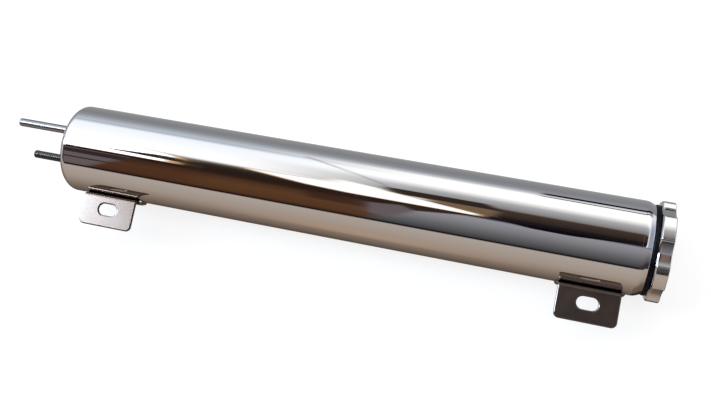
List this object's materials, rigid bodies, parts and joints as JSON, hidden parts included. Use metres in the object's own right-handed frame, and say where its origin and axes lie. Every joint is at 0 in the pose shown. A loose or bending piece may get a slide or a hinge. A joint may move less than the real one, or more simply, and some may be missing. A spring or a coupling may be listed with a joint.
{
  "type": "coolant overflow tank",
  "caption": "Slim cylindrical polished steel coolant overflow tank with a fluted screw cap, hose stubs at the foot and slotted side brackets.",
  "frame": {"origin": "midway between the two bracket slots, on the underside of the bracket tabs", "axes": "+X along the tank towards the screw cap, +Z normal to the bracket tabs on the side away from the legs, tabs reaching out towards -Y from the tube"},
  "size_m": [0.3753, 0.0709, 0.0528],
  "materials": {
    "polished_steel": "mirror polished stainless",
    "cap_alloy": "polished",
    "seal_rubber": "smooth",
    "stub_steel": "drawn tube",
    "weld_steel": "as welded",
    "bracket_steel": "brushed sheet"
  },
  "bodies": {
    "tank": {"tank_tube": "polished_steel", "bottom_cap": "polished_steel", "filler_neck": "polished_steel", "overflow_standpipe": "stub_steel", "return_stub": "stub_steel", "standpipe_weld": "weld_steel", "return_stub_weld": "weld_steel", "lower_bracket": "bracket_steel", "upper_bracket": "bracket_steel", "lower_bracket_welds": "weld_steel", "upper_bracket_welds": "weld_steel"},
    "seal": {"cap_o_ring": "seal_rubber"},
    "cap": {"filler_cap": "cap_alloy"}
  },
  "joints": [
    {"name": "cap_lift", "type": "slide", "parent": "tank", "child": "seal", "axis": [1, 0, 0], "range_m": [0, 0.01]},
    {"name": "cap_turn", "type": "hinge", "parent": "seal", "child": "cap", "pos_m": [0.165, 0.034, -0.0064], "axis": [1, 0, 0], "range_deg": [0, 1800]}
  ],
  "couplings": [
    {"joint": "cap_lift", "follows": "cap_turn", "m_per_rad": 0.00031831}
  ]
}
